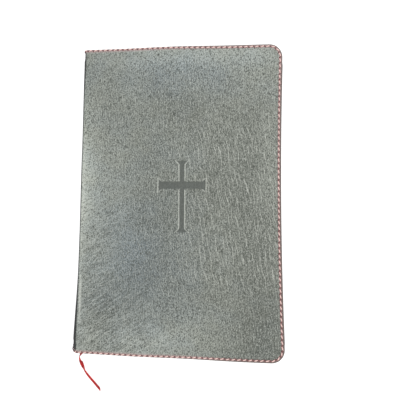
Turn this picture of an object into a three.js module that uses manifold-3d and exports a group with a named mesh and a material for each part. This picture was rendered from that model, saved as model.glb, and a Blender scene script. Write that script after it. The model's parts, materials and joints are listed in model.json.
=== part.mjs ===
// A limp leather prayer book, closed and lying on its back cover.
//
// Units are millimetres. X runs from the spine (-X) to the fore edge (+X), Y from the tail (-Y) to
// the head (+Y), and Z up through the thickness. The origin is the middle of the closed book's
// underside. The book opens at its two shoulders, the lines where the covers meet the spine.
import * as THREE from "three";
import { mergeVertices } from "three/addons/utils/BufferGeometryUtils.js";
import Module from "manifold-3d";

const wasm = await Module();
wasm.setup();

// ---------- Driving dimensions ----------

// Covers
const COVER_HEIGHT = 229; // tail to head
const COVER_WIDTH = 152; // shoulder to fore edge
const COVER_CORNER_RADIUS = 10; // the two fore-edge corners
const LEATHER_THICKNESS = 1.1;
const LINING_THICKNESS = 1.1;
const CARD_THICKNESS = 0.4; // flexible stiffener between leather and lining
const CARD_INSET = 5; // from the cover's edges, inside the seam
const PASTEDOWN_THICKNESS = 0.15;
const PASTEDOWN_INSET = 6;

// Seam round the covers
const SEAM_INSET = 1.7; // edge of the leather to the middle of the thread
const THREAD_WIDTH = 1;
const THREAD_THICKNESS = 0.3;
const SEAM_CHANNEL_DEPTH = 0.4; // the stitches pull the thread below the leather's face

// Cross pressed into the front cover
const CROSS_HEIGHT = 52.5;
const CROSS_SPAN = 35.5;
const CROSS_SHAFT_WIDTH = 3.4;
const CROSS_ARM_WIDTH = 5.2;
const CROSS_FOOT_WIDTH = 9.2; // the flared end of each limb
const CROSS_FLARE_LENGTH = 3.2;
const CROSS_ARM_FROM_TOP = 18; // top of the cross to the middle of its arms
const CROSS_DEPTH = 0.35;
const CROSS_OFFSET_X = 1.5; // from the middle of the cover, towards the fore edge
const CROSS_OFFSET_Y = 3.5; // towards the head

// Leaves
const SQUARE = 3.5; // how far the covers reach past the leaves at head, tail and fore edge
const SIGNATURE_COUNT = 16;
const SIGNATURE_THICKNESS = 1.05;
const TURNING_SIGNATURES = 8; // counted from the front cover
const FLYLEAF_THICKNESS = 0.3;
const BLOCK_CORNER_RADIUS = 6.5;
const GUTTER_X = 2.6; // shoulder to the line where the leaves bend

// Spine
const SPINE_BULGE = 6; // shoulder to the outermost line of the spine
const FOLD_EDGE_X = 0.8; // shoulder to the fold of the first and the last signature
const SPINE_SLACK = 0.5; // between the inlay and the leather, at the middle of the spine
const TAPE_COUNT = 3;
const TAPE_WIDTH = 12;
const TAPE_SPACING = 58;
const TAPE_THICKNESS = 0.3;
const MULL_THICKNESS = 0.2;
const SPINE_PAPER_THICKNESS = 0.22;
const INLAY_THICKNESS = 0.6;
const SPINE_PIECE_INSET = 2; // mull, paper and inlay stop this far inside the leaves
const KETTLE_THREAD_WIDTH = 0.6;
const KETTLE_THREAD_THICKNESS = 0.22;
const KETTLE_INSET = 14; // end of the leaves to the kettle stitches
const HEADBAND_WIDTH = 1.2;
const HEADBAND_HEIGHT = 1.5;

// Ribbon
const RIBBON_WIDTH = 3;
const RIBBON_THICKNESS = 0.2;
const RIBBON_FROM_FOLD = 1.4; // fold of the signatures to the ribbon's near edge
const RIBBON_TAB = 9; // the length glued to the spine at the head
const RIBBON_TAIL_THICKNESS = 0.4;

// Clearances
const LAYER_GAP = 0.05; // between pasted or sewn layers
const LEAF_GAP = 0.1; // between the flyleaves and what they lie on
const SIGNATURE_GAP = 0.05;
const RIBBON_GAP = 0.1; // above and below the ribbon
const JOINT_GAP = 0.3; // shoulder to the cover, and across the gutter line
const THREAD_GAP = 0.1; // each side of a thread in its channel
const CARD_GAP = 0.1; // round the card in its pocket
const BAND_GAP = 0.1; // headbands to leaves, ribbon to headband
const CORD_GAP = 0.3; // the ribbon's held length to its free length

const ARC_SEGMENTS = 8; // for each quarter circle of a corner
const SPINE_SEGMENTS = 24;
const CUT_MARGIN = 1; // how far a cutting solid runs past what it cuts

// ---------- Places worked out from them ----------

const MIN_X = -(SPINE_BULGE + COVER_WIDTH) / 2;
const SHOULDER_X = MIN_X + SPINE_BULGE;
const FORE_EDGE_X = SHOULDER_X + COVER_WIDTH;
const COVER_HALF = COVER_HEIGHT / 2;
const COVER_START_X = SHOULDER_X + JOINT_GAP;

const BLOCK_HALF = COVER_HALF - SQUARE;
const BLOCK_FORE_X = FORE_EDGE_X - SQUARE;
const BEND_X = SHOULDER_X + GUTTER_X;
const FLYLEAF_START_X = BEND_X - FLYLEAF_THICKNESS - LEAF_GAP;

// Heights, from the underside up
const RIBBON_SPACE = RIBBON_THICKNESS + 2 * RIBBON_GAP - SIGNATURE_GAP;
const BLOCK_THICKNESS =
  SIGNATURE_COUNT * SIGNATURE_THICKNESS +
  (SIGNATURE_COUNT - 1) * SIGNATURE_GAP +
  RIBBON_SPACE;
const LINING_Z = LEATHER_THICKNESS + LAYER_GAP;
const PASTEDOWN_Z = LINING_Z + LINING_THICKNESS + LAYER_GAP;
const FLYLEAF_Z = PASTEDOWN_Z + PASTEDOWN_THICKNESS + LEAF_GAP;
const BLOCK_BOTTOM = FLYLEAF_Z + FLYLEAF_THICKNESS + LEAF_GAP;
const BLOCK_TOP = BLOCK_BOTTOM + BLOCK_THICKNESS;
const BOOK_THICKNESS = BLOCK_TOP + BLOCK_BOTTOM;
const MIDDLE_Z = BOOK_THICKNESS / 2;

// Layers on the spine, as distances out from the folds
const TAPE_OUT = LAYER_GAP;
const MULL_OUT = TAPE_OUT + TAPE_THICKNESS + 2 * LAYER_GAP;
const SPINE_PAPER_OUT = MULL_OUT + MULL_THICKNESS + LAYER_GAP;
const INLAY_OUT = SPINE_PAPER_OUT + SPINE_PAPER_THICKNESS + LAYER_GAP;
const SPINE_LAYERS_OUT = INLAY_OUT + INLAY_THICKNESS;

// The folds of the signatures lie on a round, whose middle is as far out as the spine's layers
// and its leather leave room for.
const MIDDLE_FOLD_X = MIN_X + LEATHER_THICKNESS + SPINE_SLACK + SPINE_LAYERS_OUT;
const FOLD_ROUND = SHOULDER_X + FOLD_EDGE_X - MIDDLE_FOLD_X;
const HALF_BLOCK = BLOCK_THICKNESS / 2;
const ROUND_RADIUS = (HALF_BLOCK ** 2 + FOLD_ROUND ** 2) / (2 * FOLD_ROUND);
const ROUND_X = MIDDLE_FOLD_X + ROUND_RADIUS;

// Ribbon
const RIBBON_AFTER = SIGNATURE_COUNT / 2;
const RIBBON_X = MIDDLE_FOLD_X + RIBBON_FROM_FOLD;
const RIBBON_Z = MIDDLE_Z;
const RIBBON_TOP_Y = BLOCK_HALF + BAND_GAP + HEADBAND_HEIGHT + BAND_GAP;

// The free ribbon's middle line, from where it leaves the leaves: out of the tail, over the edge
// of the back cover and along the table.
const RIBBON_TAIL_POINTS = [
  [0, 0, 0],
  [-0.2, -1.6, 0],
  [-1.6, -3.6, -0.1],
  [-3.3, -5.9, -0.5],
  [-4.6, -8.7, -1.7],
  [-5.1, -11, -4.1],
  [-5.5, -13.6, -7],
  [-5.4, -16.3, -9],
  [-4.6, -18.9, -9.9],
  [-3.2, -21.9, -10.4],
  [-1.1, -24.7, -10.6],
  [1.4, -27.5, -10.7],
  [4.1, -30.2, -10.7],
  [6.7, -33, -10.7],
  [9.1, -35.4, -10.7],
];
const RIBBON_TAIL_STEPS = 24;

// ---------- Materials ----------

const leather = new THREE.MeshStandardMaterial({ color: 0x3a3c3b, roughness: 0.5 });
const liningLeather = new THREE.MeshStandardMaterial({ color: 0x1d1c1c, roughness: 0.7 });
const card = new THREE.MeshStandardMaterial({ color: 0x9a8b72, roughness: 0.95 });
const paper = new THREE.MeshStandardMaterial({ color: 0xe9e3d2, roughness: 0.9 });
const endpaper = new THREE.MeshStandardMaterial({ color: 0x2b2a2c, roughness: 0.85 });
const thread = new THREE.MeshStandardMaterial({ color: 0xa8383c, roughness: 0.6 });
const linen = new THREE.MeshStandardMaterial({ color: 0xd8cfb8, roughness: 0.95 });
const silk = new THREE.MeshStandardMaterial({ color: 0x9e1f24, roughness: 0.5 });
const satin = new THREE.MeshStandardMaterial({ color: 0xc8242a, roughness: 0.4 });

// ---------- Helpers ----------

const book = new THREE.Group();

function add(name, geometry, material) {
  const mesh = new THREE.Mesh(geometry, material);
  mesh.name = name;
  book.add(mesh);
}

function solid(geometry) {
  const bare = geometry.clone();
  bare.deleteAttribute("normal");
  bare.deleteAttribute("uv");
  const merged = mergeVertices(bare, 1e-4);
  return new wasm.Manifold(
    new wasm.Mesh({
      numProp: 3,
      vertProperties: merged.attributes.position.array,
      triVerts: new Uint32Array(merged.index.array),
    }),
  );
}

function geometryOf(manifold) {
  const mesh = manifold.getMesh();
  const geometry = new THREE.BufferGeometry();
  geometry.setAttribute("position", new THREE.BufferAttribute(mesh.vertProperties, 3));
  geometry.setIndex(new THREE.BufferAttribute(mesh.triVerts, 1));
  geometry.computeVertexNormals();
  return geometry;
}

const subtract = (geometry, tool) => geometryOf(solid(geometry).subtract(solid(tool)));
const intersect = (a, b) => geometryOf(solid(a).intersect(solid(b)));
const join = (a, b) => geometryOf(solid(a).add(solid(b)));

function box(x0, x1, y0, y1, z0, z1) {
  const geometry = new THREE.BoxGeometry(x1 - x0, y1 - y0, z1 - z0);
  return geometry.translate((x0 + x1) / 2, (y0 + y1) / 2, (z0 + z1) / 2);
}

// An outline in X and Y, raised from z0 to z1.
function raised(shape, z0, z1) {
  const geometry = new THREE.ExtrudeGeometry(shape, {
    depth: z1 - z0,
    bevelEnabled: false,
    curveSegments: ARC_SEGMENTS,
  });
  return geometry.translate(0, 0, z0);
}

// A section in X and Z, drawn out along Y from y0 to y1.
function drawnOut(shape, y0, y1, curveSegments = SPINE_SEGMENTS) {
  const geometry = new THREE.ExtrudeGeometry(shape, {
    depth: y1 - y0,
    bevelEnabled: false,
    curveSegments,
  });
  return geometry.rotateX(Math.PI / 2).translate(0, y1, 0);
}

// A rectangle about y = 0 with rounded corners on its fore edge only.
function leafOutline(x0, x1, half, radius) {
  const shape = new THREE.Shape();
  shape.moveTo(x0, -half);
  shape.lineTo(x1 - radius, -half);
  shape.absarc(x1 - radius, -half + radius, radius, -Math.PI / 2, 0, false);
  shape.lineTo(x1, half - radius);
  shape.absarc(x1 - radius, half - radius, radius, 0, Math.PI / 2, false);
  shape.lineTo(x0, half);
  return shape;
}

// The band that a seam follows: along the tail, up the fore edge and back along the head.
function seamOutline(x0, width) {
  const outerInset = SEAM_INSET - width / 2;
  const innerInset = SEAM_INSET + width / 2;
  const arcX = FORE_EDGE_X - COVER_CORNER_RADIUS;
  const arcY = COVER_HALF - COVER_CORNER_RADIUS;
  const outerRadius = COVER_CORNER_RADIUS - outerInset;
  const innerRadius = COVER_CORNER_RADIUS - innerInset;
  const shape = new THREE.Shape();
  shape.moveTo(x0, -COVER_HALF + outerInset);
  shape.lineTo(arcX, -COVER_HALF + outerInset);
  shape.absarc(arcX, -arcY, outerRadius, -Math.PI / 2, 0, false);
  shape.absarc(arcX, arcY, outerRadius, 0, Math.PI / 2, false);
  shape.lineTo(x0, COVER_HALF - outerInset);
  shape.lineTo(x0, COVER_HALF - innerInset);
  shape.absarc(arcX, arcY, innerRadius, Math.PI / 2, 0, true);
  shape.absarc(arcX, -arcY, innerRadius, 0, -Math.PI / 2, true);
  shape.lineTo(x0, -COVER_HALF + innerInset);
  return shape;
}

// A Latin cross whose four limbs flare at their ends, centred on the front cover.
function crossOutline() {
  const x = (COVER_START_X + FORE_EDGE_X) / 2 + CROSS_OFFSET_X;
  const top = CROSS_OFFSET_Y + CROSS_HEIGHT / 2;
  const bottom = top - CROSS_HEIGHT;
  const armY = top - CROSS_ARM_FROM_TOP;
  const shaft = CROSS_SHAFT_WIDTH / 2;
  const arm = CROSS_ARM_WIDTH / 2;
  const foot = CROSS_FOOT_WIDTH / 2;
  const reach = CROSS_SPAN / 2;
  const flare = CROSS_FLARE_LENGTH;
  const rightHalf = [
    [foot, top],
    [shaft, top - flare],
    [shaft, armY + arm],
    [reach - flare, armY + arm],
    [reach, armY + foot],
    [reach, armY - foot],
    [reach - flare, armY - arm],
    [shaft, armY - arm],
    [shaft, bottom + flare],
    [foot, bottom],
  ];
  const leftHalf = rightHalf.map(([dx, y]) => [-dx, y]).reverse();
  return new THREE.Shape([...rightHalf, ...leftHalf].map(([dx, y]) => new THREE.Vector2(x + dx, y)));
}

// Both covers are built as the back one, and the front one is its reflection in the middle plane.
const reflected = (front, z0, z1) => (front ? [BOOK_THICKNESS - z1, BOOK_THICKNESS - z0] : [z0, z1]);

// ---------- Covers ----------

function cutSeamChannel(geometry, z0, z1) {
  const channel = seamOutline(COVER_START_X - CUT_MARGIN, THREAD_WIDTH + 2 * THREAD_GAP);
  return subtract(geometry, raised(channel, z0, z1));
}

function coverLeather(front) {
  const outline = leafOutline(COVER_START_X, FORE_EDGE_X, COVER_HALF, COVER_CORNER_RADIUS);
  const sheet = raised(outline, ...reflected(front, 0, LEATHER_THICKNESS));
  return cutSeamChannel(sheet, ...reflected(front, -CUT_MARGIN, SEAM_CHANNEL_DEPTH));
}

// The lining has a shallow pocket for the card, so leather and lining meet round the seam.
function coverLining(front) {
  const outline = leafOutline(COVER_START_X, FORE_EDGE_X, COVER_HALF, COVER_CORNER_RADIUS);
  const top = LINING_Z + LINING_THICKNESS;
  const sheet = raised(outline, ...reflected(front, LINING_Z, top));
  const pocket = cardOutline(CARD_INSET - CARD_GAP);
  const pocketTop = LINING_Z + CARD_THICKNESS + LAYER_GAP;
  const hollowed = subtract(sheet, raised(pocket, ...reflected(front, LINING_Z - CUT_MARGIN, pocketTop)));
  return cutSeamChannel(hollowed, ...reflected(front, top - SEAM_CHANNEL_DEPTH, top + CUT_MARGIN));
}

function cardOutline(inset) {
  const radius = Math.max(COVER_CORNER_RADIUS - inset, CARD_THICKNESS);
  return leafOutline(COVER_START_X + inset, FORE_EDGE_X - inset, COVER_HALF - inset, radius);
}

function seamThread(front, z0) {
  const outline = seamOutline(COVER_START_X, THREAD_WIDTH);
  return raised(outline, ...reflected(front, z0, z0 + THREAD_THICKNESS));
}

function pastedown(front) {
  const outline = leafOutline(
    COVER_START_X + PASTEDOWN_INSET,
    FORE_EDGE_X - PASTEDOWN_INSET,
    COVER_HALF - PASTEDOWN_INSET,
    Math.max(COVER_CORNER_RADIUS - PASTEDOWN_INSET, PASTEDOWN_THICKNESS),
  );
  return raised(outline, ...reflected(front, PASTEDOWN_Z, PASTEDOWN_Z + PASTEDOWN_THICKNESS));
}

for (const side of ["front", "back"]) {
  const front = side === "front";
  const sheet = coverLeather(front);
  const cross = raised(crossOutline(), BOOK_THICKNESS - CROSS_DEPTH, BOOK_THICKNESS + CUT_MARGIN);
  add(`${side}_cover_leather`, front ? subtract(sheet, cross) : sheet, leather);
  const cardZ = reflected(front, LINING_Z, LINING_Z + CARD_THICKNESS);
  add(`${side}_cover_card`, raised(cardOutline(CARD_INSET), ...cardZ), card);
  add(`${side}_cover_lining`, coverLining(front), liningLeather);
  add(`${side}_seam_thread`, seamThread(front, LAYER_GAP), thread);
  const innerZ = LINING_Z + LINING_THICKNESS - LAYER_GAP - THREAD_THICKNESS;
  add(`${side}_lining_thread`, seamThread(front, innerZ), thread);
  add(`${side}_pastedown`, pastedown(front), endpaper);
  const flyleafZ = reflected(front, FLYLEAF_Z, FLYLEAF_Z + FLYLEAF_THICKNESS);
  const flyleaf = leafOutline(FLYLEAF_START_X, BLOCK_FORE_X, BLOCK_HALF, BLOCK_CORNER_RADIUS);
  add(`${side}_flyleaf`, raised(flyleaf, ...flyleafZ), paper);
}

// ---------- Signatures ----------

// The lower face of a signature, counted from 1 at the front cover.
function signatureBottom(number) {
  const ribbonSpace = number > RIBBON_AFTER ? RIBBON_SPACE : 0;
  const above = number * SIGNATURE_THICKNESS + (number - 1) * SIGNATURE_GAP;
  return BLOCK_TOP - above - ribbonSpace;
}

// A section with a round back and a square front.
function roundBacked(x0, x1, z0, z1) {
  const radius = (z1 - z0) / 2;
  const shape = new THREE.Shape();
  shape.moveTo(x1, z0);
  shape.lineTo(x1, z1);
  shape.lineTo(x0 + radius, z1);
  shape.absarc(x0 + radius, z0 + radius, radius, Math.PI / 2, (3 * Math.PI) / 2, false);
  return shape;
}

function signature(x0, number) {
  const z0 = signatureBottom(number);
  const z1 = z0 + SIGNATURE_THICKNESS;
  const section = roundBacked(x0, BLOCK_FORE_X, z0, z1);
  const sheet = drawnOut(section, -BLOCK_HALF, BLOCK_HALF, ARC_SEGMENTS);
  const outline = leafOutline(x0 - CUT_MARGIN, BLOCK_FORE_X, BLOCK_HALF, BLOCK_CORNER_RADIUS);
  return intersect(sheet, raised(outline, z0 - CUT_MARGIN, z1 + CUT_MARGIN));
}

// Where the fold of a signature lies, when its round back touches the round of the spine.
function foldX(number) {
  const radius = SIGNATURE_THICKNESS / 2;
  const rise = signatureBottom(number) + radius - MIDDLE_Z;
  return ROUND_X - Math.sqrt((ROUND_RADIUS - radius) ** 2 - rise ** 2) - radius;
}

for (let number = 1; number <= SIGNATURE_COUNT; number++) {
  const name = `signature_${String(number).padStart(2, "0")}`;
  if (number > TURNING_SIGNATURES) {
    add(name, signature(foldX(number), number), paper);
    continue;
  }
  const z0 = signatureBottom(number);
  const z1 = z0 + SIGNATURE_THICKNESS;
  const fold = roundBacked(foldX(number), BEND_X - JOINT_GAP, z0, z1);
  add(name, signature(BEND_X, number), paper);
  add(`${name}_fold`, drawnOut(fold, -BLOCK_HALF, BLOCK_HALF, ARC_SEGMENTS), paper);
}

// ---------- Spine ----------

// A strip that lies on the round of the spine, from one distance out to another.
function roundStrip(inner, outer, halfRise) {
  const innerRadius = ROUND_RADIUS + inner;
  const outerRadius = ROUND_RADIUS + outer;
  const angle = Math.asin(halfRise / innerRadius);
  const shape = new THREE.Shape();
  shape.absarc(ROUND_X, MIDDLE_Z, outerRadius, Math.PI - angle, Math.PI + angle, false);
  shape.absarc(ROUND_X, MIDDLE_Z, innerRadius, Math.PI + angle, Math.PI - angle, true);
  return shape;
}

// The spine's leather in section: a half ellipse from shoulder to shoulder, in layers from its
// outer face inwards.
function leatherSection(outer, inner) {
  const outerX = SPINE_BULGE - outer;
  const innerX = SPINE_BULGE - inner;
  const shape = new THREE.Shape();
  const [up, down] = [Math.PI / 2, (3 * Math.PI) / 2];
  shape.absellipse(SHOULDER_X, MIDDLE_Z, outerX, MIDDLE_Z - outer, up, down, false);
  shape.absellipse(SHOULDER_X, MIDDLE_Z, innerX, MIDDLE_Z - inner, down, up, true);
  return shape;
}

function spineLeather() {
  const channelHalf = THREAD_WIDTH / 2 + THREAD_GAP;
  const section = leatherSection(-CUT_MARGIN, SEAM_CHANNEL_DEPTH);
  let sheet = drawnOut(leatherSection(0, LEATHER_THICKNESS), -COVER_HALF, COVER_HALF);
  for (const end of [-1, 1]) {
    const y = end * (COVER_HALF - SEAM_INSET);
    sheet = subtract(sheet, drawnOut(section, y - channelHalf, y + channelHalf));
  }
  return sheet;
}

add("spine_leather", spineLeather(), leather);
for (const [end, name] of [[1, "spine_head_thread"], [-1, "spine_tail_thread"]]) {
  const y = end * (COVER_HALF - SEAM_INSET);
  const section = leatherSection(LAYER_GAP, LAYER_GAP + THREAD_THICKNESS);
  add(name, drawnOut(section, y - THREAD_WIDTH / 2, y + THREAD_WIDTH / 2), thread);
}

const STRIP_RISE = HALF_BLOCK - SIGNATURE_THICKNESS / 2;

for (let number = 1; number <= TAPE_COUNT; number++) {
  const y = ((TAPE_COUNT + 1) / 2 - number) * TAPE_SPACING;
  const section = roundStrip(TAPE_OUT, TAPE_OUT + TAPE_THICKNESS, STRIP_RISE);
  add(`sewing_tape_${number}`, drawnOut(section, y - TAPE_WIDTH / 2, y + TAPE_WIDTH / 2), linen);
}

for (const [end, name] of [[1, "kettle_stitch_head"], [-1, "kettle_stitch_tail"]]) {
  const y = end * (BLOCK_HALF - KETTLE_INSET);
  const section = roundStrip(TAPE_OUT, TAPE_OUT + KETTLE_THREAD_THICKNESS, STRIP_RISE);
  const half = KETTLE_THREAD_WIDTH / 2;
  add(name, drawnOut(section, y - half, y + half), linen);
}

const SPINE_LAYERS = [
  ["spine_mull", MULL_OUT, MULL_THICKNESS, linen],
  ["spine_lining_paper", SPINE_PAPER_OUT, SPINE_PAPER_THICKNESS, card],
  ["spine_inlay", INLAY_OUT, INLAY_THICKNESS, card],
];
for (const [name, out, thickness, material] of SPINE_LAYERS) {
  const half = BLOCK_HALF - SPINE_PIECE_INSET;
  add(name, drawnOut(roundStrip(out, out + thickness, STRIP_RISE), -half, half), material);
}

for (const [end, name] of [[1, "headband"], [-1, "tailband"]]) {
  const near = BLOCK_HALF + BAND_GAP;
  const [y0, y1] = [end * near, end * (near + HEADBAND_HEIGHT)].sort((a, b) => a - b);
  const section = roundStrip(-HEADBAND_WIDTH - BAND_GAP, -BAND_GAP, STRIP_RISE);
  add(name, drawnOut(section, y0, y1), silk);
}

// ---------- Ribbon ----------

// The held length: glued to the spine under the mull, over the headband, and down between the
// leaves to their tail.
function ribbonMarker() {
  const [half, flat] = [RIBBON_WIDTH / 2, RIBBON_THICKNESS / 2];
  const spineX = MIDDLE_FOLD_X - TAPE_OUT - RIBBON_THICKNESS;
  const farX = RIBBON_X + RIBBON_WIDTH;
  const topY = RIBBON_TOP_Y + RIBBON_THICKNESS;
  const turn = new THREE.Shape();
  turn.moveTo(spineX, BLOCK_HALF - RIBBON_TAB);
  turn.lineTo(spineX + RIBBON_THICKNESS, BLOCK_HALF - RIBBON_TAB);
  turn.lineTo(spineX + RIBBON_THICKNESS, RIBBON_TOP_Y);
  turn.lineTo(farX + flat, RIBBON_TOP_Y);
  turn.lineTo(farX + flat, topY);
  turn.lineTo(spineX, topY);
  const run = box(RIBBON_X, farX, -BLOCK_HALF, topY - flat, RIBBON_Z - flat, RIBBON_Z + flat);
  return join(run, raised(turn, RIBBON_Z - half, RIBBON_Z + half));
}

// The free length, as a flat strip of eight sides along its middle line.
function ribbonTail() {
  const start = [RIBBON_X + RIBBON_WIDTH / 2, -BLOCK_HALF - CORD_GAP, RIBBON_Z];
  const points = RIBBON_TAIL_POINTS.map(
    ([x, y, z]) => new THREE.Vector3(start[0] + x, start[1] + y, start[2] + z),
  );
  const edge = RIBBON_WIDTH / 2;
  const flat = RIBBON_TAIL_THICKNESS / 2;
  const shoulder = edge - flat;
  const corners = [
    [flat, -shoulder],
    [flat, shoulder],
    [flat / 2, edge],
    [-flat / 2, edge],
    [-flat, shoulder],
    [-flat, -shoulder],
    [-flat / 2, -edge],
    [flat / 2, -edge],
  ];
  const section = new THREE.Shape(corners.map(([x, y]) => new THREE.Vector2(x, y)));
  return new THREE.ExtrudeGeometry(section, {
    steps: RIBBON_TAIL_STEPS,
    extrudePath: new THREE.CatmullRomCurve3(points),
    bevelEnabled: false,
  });
}

add("ribbon_marker", ribbonMarker(), satin);
add("ribbon_tail", ribbonTail(), satin);

export default book;
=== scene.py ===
"""A limp leather-bound prayer book, closed, with a ribbon marker: its looks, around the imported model.

Lengths are metres. X runs from the spine to the fore edge, Y from the tail to the head and Z from
the back cover to the front cover. On the leather, a place is given as (across, y): across is
measured along the leather from the shoulder, towards the fore edge where it is positive and round
to the middle of the spine where it is negative.
"""

import json
import math

import bpy
import numpy as np
from mathutils import Euler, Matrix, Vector, noise

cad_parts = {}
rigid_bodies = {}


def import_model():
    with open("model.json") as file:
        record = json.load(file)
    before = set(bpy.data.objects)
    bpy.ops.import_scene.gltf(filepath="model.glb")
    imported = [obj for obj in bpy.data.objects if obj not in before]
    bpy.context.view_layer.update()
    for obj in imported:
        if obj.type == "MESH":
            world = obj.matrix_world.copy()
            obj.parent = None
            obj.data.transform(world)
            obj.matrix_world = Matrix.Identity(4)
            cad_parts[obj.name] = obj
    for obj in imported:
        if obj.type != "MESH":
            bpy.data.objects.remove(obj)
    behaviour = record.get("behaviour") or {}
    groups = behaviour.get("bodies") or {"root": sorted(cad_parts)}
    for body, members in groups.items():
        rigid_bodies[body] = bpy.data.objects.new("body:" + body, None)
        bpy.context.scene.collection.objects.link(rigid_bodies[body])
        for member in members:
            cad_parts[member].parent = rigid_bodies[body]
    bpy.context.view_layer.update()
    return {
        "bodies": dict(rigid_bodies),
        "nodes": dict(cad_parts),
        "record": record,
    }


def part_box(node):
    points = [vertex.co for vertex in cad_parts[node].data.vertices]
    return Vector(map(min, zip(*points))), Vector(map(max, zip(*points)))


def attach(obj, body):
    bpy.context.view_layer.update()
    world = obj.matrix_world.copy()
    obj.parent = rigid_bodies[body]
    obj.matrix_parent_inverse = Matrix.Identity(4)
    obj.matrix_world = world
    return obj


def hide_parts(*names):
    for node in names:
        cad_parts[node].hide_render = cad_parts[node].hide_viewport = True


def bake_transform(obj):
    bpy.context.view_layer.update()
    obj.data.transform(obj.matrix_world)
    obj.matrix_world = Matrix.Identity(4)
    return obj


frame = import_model()

MM = 0.001

# ---------- Camera ----------

CAMERA_PLACE = (80 * MM, -15.2 * MM, 415 * MM)
CAMERA_TURN = (2.39, 9.0, 0.42)  # degrees
CAMERA_LENS = 48.8  # millimetres
CAMERA_SENSOR = 36  # millimetres wide


def make_camera():
    data = bpy.data.cameras.new("camera")
    data.lens = CAMERA_LENS
    data.sensor_width = CAMERA_SENSOR
    data.clip_start = 10 * MM
    camera = bpy.data.objects.new("camera", data)
    camera.location = CAMERA_PLACE
    camera.rotation_euler = Euler([math.radians(a) for a in CAMERA_TURN])
    bpy.context.scene.collection.objects.link(camera)
    bpy.context.scene.camera = camera


make_camera()

# ---------- Places, from the frame ----------

_, spine_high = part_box("spine_leather")
cover_low, cover_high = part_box("front_cover_leather")
lining_low, lining_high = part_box("front_cover_lining")
first_low, first_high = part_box("signature_01_fold")
middle_low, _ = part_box("signature_08_fold")

SHOULDER_X = spine_high.x
FORE_X = cover_high.x
COVER_START_X = cover_low.x
COVER_WIDTH = FORE_X - SHOULDER_X
COVER_HALF = cover_high.y
BOOK_TOP = cover_high.z
MIDDLE_Z = BOOK_TOP / 2
LEATHER = cover_high.z - cover_low.z

# ---------- Mesh helpers ----------


def mesh_object(name, points, faces, smooth=True):
    mesh = bpy.data.meshes.new(name)
    mesh.from_pydata([tuple(p) for p in points], [], faces)
    mesh.validate()
    mesh.polygons.foreach_set("use_smooth", [smooth] * len(mesh.polygons))
    mesh.update()
    piece = bpy.data.objects.new(name, mesh)
    bpy.context.scene.collection.objects.link(piece)
    return piece


def add_attribute(piece, name, values):
    attribute = piece.data.attributes.new(name, "FLOAT", "POINT")
    attribute.data.foreach_set("value", np.asarray(values, np.float32).ravel())


def grid_faces(rows, columns, first=0, flipped=False):
    faces = []
    for r in range(rows - 1):
        for c in range(columns - 1):
            a = first + r * columns + c
            face = (a, a + columns, a + columns + 1, a + 1)
            faces.append(face[::-1] if flipped else face)
    return faces


def closed_sheet(name, upper, lower):
    """A closed body between two grids of points of the same shape, (rows, columns, 3)."""
    rows, columns = upper.shape[:2]
    count = rows * columns
    faces = grid_faces(rows, columns) + grid_faces(rows, columns, count, flipped=True)
    rim = list(range(columns))
    rim += [r * columns + columns - 1 for r in range(1, rows)]
    rim += [(rows - 1) * columns + c for c in range(columns - 2, -1, -1)]
    rim += [r * columns for r in range(rows - 2, 0, -1)]
    for a, b in zip(rim, rim[1:] + rim[:1]):
        faces.append((a, b, b + count, a + count))
    points = np.concatenate([upper.reshape(-1, 3), lower.reshape(-1, 3)])
    return mesh_object(name, points, faces)


def spaced(*stretches):
    """Ascending places, from (start, end, step) stretches that follow each other."""
    values = []
    for start, end, step in stretches:
        count = max(1, round((end - start) / step))
        values.extend(np.linspace(start, end, count, endpoint=False))
    values.append(stretches[-1][1])
    return np.array(values)


def smooth_step(value, low, high):
    """0 at low and 1 at high, which may be the smaller."""
    t = np.clip((value - low) / (high - low), 0, 1)
    return t * t * (3 - 2 * t)


def noise_at(a, b, scale_a, scale_b, seed):
    """Smooth noise from -1 to 1 over arrays a and b, which change over scale_a and scale_b."""
    flat = zip((a / scale_a).ravel(), (b / scale_b).ravel())
    return np.array([noise.noise((x, y, seed)) for x, y in flat]).reshape(a.shape)


# ---------- The leather's shape ----------

CORNER_RADIUS = 10 * MM
SEAM_INSET_SPINE = 0.9 * MM  # edge of the leather to the seam, by the spine
SEAM_INSET_FORE = 1.65 * MM
SEAM_DIP = 0.45 * MM
SEAM_DIP_WIDTH = 0.75 * MM
EDGE_ROUND = 0.7 * MM
QUARTER = 14.8 * MM  # along the leather, from the shoulder to the spine's outermost line
BULGE = 3.3 * MM  # of the spine, which use has flattened
TAIL_BULGE = 6.4 * MM  # where it has slackened
TAIL_SHARE = 0.7  # of the way from head to tail, from where it slackens
# How far limp use has drawn the cover's edges in (or out, below 0).
FORE_IN_HEAD = 1.3 * MM
FORE_IN_MIDDLE = 2.5 * MM
FORE_IN_TAIL = -0.7 * MM
SHOULDER_IN_HEAD = 1.95 * MM
SHOULDER_IN_MIDDLE = 0.25 * MM
SHOULDER_IN_TAIL = -1.95 * MM
SHOULDER_REACH = 60 * MM  # along the cover, over which the shoulder's shift fades out
HEAD_OUT_SPINE = 1.3 * MM
HEAD_OUT_MIDDLE = 0.8 * MM
HEAD_OUT_FORE = -0.6 * MM
TAIL_OUT_FORE = 0.7 * MM
TAIL_TUCK = 6 * MM  # how far the spine's tail end is drawn in
WAVE = 0.15 * MM  # of the head and tail edges
BILLOW = 0.22 * MM  # of the cover's face
CREASE = 0.16 * MM
LEAVES_RAISE = 0.4 * MM  # of the cover's face where the block of leaves is under it
# How far the painted shade on the spine's side reaches past the shoulder, at the head.
SPINE_SHADE_AT_HEAD = 1.5 * MM  # past the shoulder, towards the fore edge

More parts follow.
